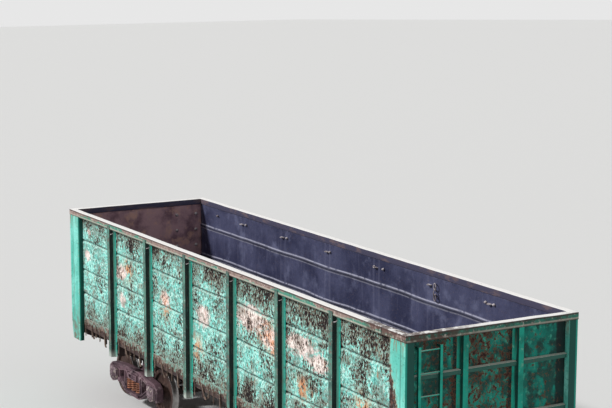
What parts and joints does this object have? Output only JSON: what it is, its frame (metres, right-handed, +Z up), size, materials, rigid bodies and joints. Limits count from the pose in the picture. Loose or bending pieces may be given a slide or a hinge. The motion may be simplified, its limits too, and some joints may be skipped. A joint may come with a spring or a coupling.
{
  "type": "open-top rail wagon with drop doors",
  "caption": "Four-axle open rail wagon with ribbed steel sides and drop doors along its floor.",
  "frame": {"origin": "middle of the wagon's plan, at the height of the lowest points of the wheel flanges", "axes": "+X along the track towards the near end of the picture, +Y across it, +Z up"},
  "size_m": [14.0982, 3.134, 3.8279],
  "materials": {
    "wagon_paint": "weathered turquoise paint over rust",
    "end_paint": "weathered dark teal paint",
    "rim_paint": "worn pale paint and bare steel",
    "inside_steel": "dark worn steel",
    "underframe": "dirty rusted primer",
    "hatch_steel": "rusted steel sheet",
    "cast_bogie": "rough rusted casting",
    "spring_steel": "orange rust",
    "wheel_steel": "bright tread, rusted web",
    "axle_steel": "dirty forged steel",
    "brake_gear": "dirty black iron",
    "coupler_iron": "rusted cast steel"
  },
  "bodies": {
    "carbody": {"centre_sill": "underframe", "body_bolsters": "underframe", "cross_beams": "underframe", "end_beams": "underframe", "hinge_brackets": "underframe", "side_wall_right": "wagon_paint", "side_wall_left": "wagon_paint", "side_posts": "wagon_paint", "corner_posts": "wagon_paint", "side_top_chords": "rim_paint", "end_top_chords": "rim_paint", "lower_chords": "wagon_paint", "end_walls": "end_paint", "end_wall_frames": "end_paint", "end_ladders": "end_paint", "corner_steps": "end_paint", "hatch_latches": "brake_gear", "lashing_lugs": "inside_steel", "centre_plates": "cast_bogie", "striker_plates": "coupler_iron", "couplers": "coupler_iron", "brake_cylinder": "brake_gear", "air_reservoir": "brake_gear", "distributor_valve": "brake_gear", "brake_pipe": "brake_gear", "brake_rods": "brake_gear"},
    "hatch_right_1": {"hatch_right_1": "hatch_steel"},
    "hatch_left_1": {"hatch_left_1": "hatch_steel"},
    "hatch_right_2": {"hatch_right_2": "hatch_steel"},
    "hatch_left_2": {"hatch_left_2": "hatch_steel"},
    "hatch_right_3": {"hatch_right_3": "hatch_steel"},
    "hatch_left_3": {"hatch_left_3": "hatch_steel"},
    "hatch_right_4": {"hatch_right_4": "hatch_steel"},
    "hatch_left_4": {"hatch_left_4": "hatch_steel"},
    "hatch_right_5": {"hatch_right_5": "hatch_steel"},
    "hatch_left_5": {"hatch_left_5": "hatch_steel"},
    "hatch_right_6": {"hatch_right_6": "hatch_steel"},
    "hatch_left_6": {"hatch_left_6": "hatch_steel"},
    "hatch_right_7": {"hatch_right_7": "hatch_steel"},
    "hatch_left_7": {"hatch_left_7": "hatch_steel"},
    "bogie_far": {"side_frames_far": "cast_bogie", "bogie_bolster_far": "cast_bogie", "spring_nests_far": "spring_steel", "axle_boxes_far": "cast_bogie", "brake_beams_far": "brake_gear"},
    "wheelset_far_1": {"wheels_far_1": "wheel_steel", "axle_far_1": "axle_steel"},
    "wheelset_far_2": {"wheels_far_2": "wheel_steel", "axle_far_2": "axle_steel"},
    "bogie_near": {"side_frames_near": "cast_bogie", "bogie_bolster_near": "cast_bogie", "spring_nests_near": "spring_steel", "axle_boxes_near": "cast_bogie", "brake_beams_near": "brake_gear"},
    "wheelset_near_1": {"wheels_near_1": "wheel_steel", "axle_near_1": "axle_steel"},
    "wheelset_near_2": {"wheels_near_2": "wheel_steel", "axle_near_2": "axle_steel"}
  },
  "joints": [
    {"name": "hatch_right_1_drop", "type": "hinge", "parent": "carbody", "child": "hatch_right_1", "pos_m": [-5.19, -0.175, 1.403], "axis": [1, 0, 0], "range_deg": [0, 31]},
    {"name": "hatch_left_1_drop", "type": "hinge", "parent": "carbody", "child": "hatch_left_1", "pos_m": [-5.19, 0.175, 1.403], "axis": [-1, 0, 0], "range_deg": [0, 31]},
    {"name": "hatch_right_2_drop", "type": "hinge", "parent": "carbody", "child": "hatch_right_2", "pos_m": [-3.46, -0.175, 1.403], "axis": [1, 0, 0], "range_deg": [0, 31]},
    {"name": "hatch_left_2_drop", "type": "hinge", "parent": "carbody", "child": "hatch_left_2", "pos_m": [-3.46, 0.175, 1.403], "axis": [-1, 0, 0], "range_deg": [0, 31]},
    {"name": "hatch_right_3_drop", "type": "hinge", "parent": "carbody", "child": "hatch_right_3", "pos_m": [-1.73, -0.175, 1.403], "axis": [1, 0, 0], "range_deg": [0, 31]},
    {"name": "hatch_left_3_drop", "type": "hinge", "parent": "carbody", "child": "hatch_left_3", "pos_m": [-1.73, 0.175, 1.403], "axis": [-1, 0, 0], "range_deg": [0, 31]},
    {"name": "hatch_right_4_drop", "type": "hinge", "parent": "carbody", "child": "hatch_right_4", "pos_m": [0, -0.175, 1.403], "axis": [1, 0, 0], "range_deg": [0, 31]},
    {"name": "hatch_left_4_drop", "type": "hinge", "parent": "carbody", "child": "hatch_left_4", "pos_m": [0, 0.175, 1.403], "axis": [-1, 0, 0], "range_deg": [0, 31]},
    {"name": "hatch_right_5_drop", "type": "hinge", "parent": "carbody", "child": "hatch_right_5", "pos_m": [1.73, -0.175, 1.403], "axis": [1, 0, 0], "range_deg": [0, 31]},
    {"name": "hatch_left_5_drop", "type": "hinge", "parent": "carbody", "child": "hatch_left_5", "pos_m": [1.73, 0.175, 1.403], "axis": [-1, 0, 0], "range_deg": [0, 31]},
    {"name": "hatch_right_6_drop", "type": "hinge", "parent": "carbody", "child": "hatch_right_6", "pos_m": [3.46, -0.175, 1.403], "axis": [1, 0, 0], "range_deg": [0, 31]},
    {"name": "hatch_left_6_drop", "type": "hinge", "parent": "carbody", "child": "hatch_left_6", "pos_m": [3.46, 0.175, 1.403], "axis": [-1, 0, 0], "range_deg": [0, 31]},
    {"name": "hatch_right_7_drop", "type": "hinge", "parent": "carbody", "child": "hatch_right_7", "pos_m": [5.19, -0.175, 1.403], "axis": [1, 0, 0], "range_deg": [0, 31]},
    {"name": "hatch_left_7_drop", "type": "hinge", "parent": "carbody", "child": "hatch_left_7", "pos_m": [5.19, 0.175, 1.403], "axis": [-1, 0, 0], "range_deg": [0, 31]},
    {"name": "bogie_far_swivel", "type": "hinge", "parent": "carbody", "child": "bogie_far", "pos_m": [-4.325, 0, 0.828], "axis": [0, 0, 1], "range_deg": [-4, 4]},
    {"name": "wheelset_far_1_roll", "type": "hinge", "parent": "bogie_far", "child": "wheelset_far_1", "pos_m": [-5.25, 0, 0.503], "axis": [0, 1, 0], "continuous": true},
    {"name": "wheelset_far_2_roll", "type": "hinge", "parent": "bogie_far", "child": "wheelset_far_2", "pos_m": [-3.4, 0, 0.503], "axis": [0, 1, 0], "continuous": true},
    {"name": "bogie_near_swivel", "type": "hinge", "parent": "carbody", "child": "bogie_near", "pos_m": [4.325, 0, 0.828], "axis": [0, 0, 1], "range_deg": [-4, 4]},
    {"name": "wheelset_near_1_roll", "type": "hinge", "parent": "bogie_near", "child": "wheelset_near_1", "pos_m": [3.4, 0, 0.503], "axis": [0, 1, 0], "continuous": true},
    {"name": "wheelset_near_2_roll", "type": "hinge", "parent": "bogie_near", "child": "wheelset_near_2", "pos_m": [5.25, 0, 0.503], "axis": [0, 1, 0], "continuous": true}
  ]
}
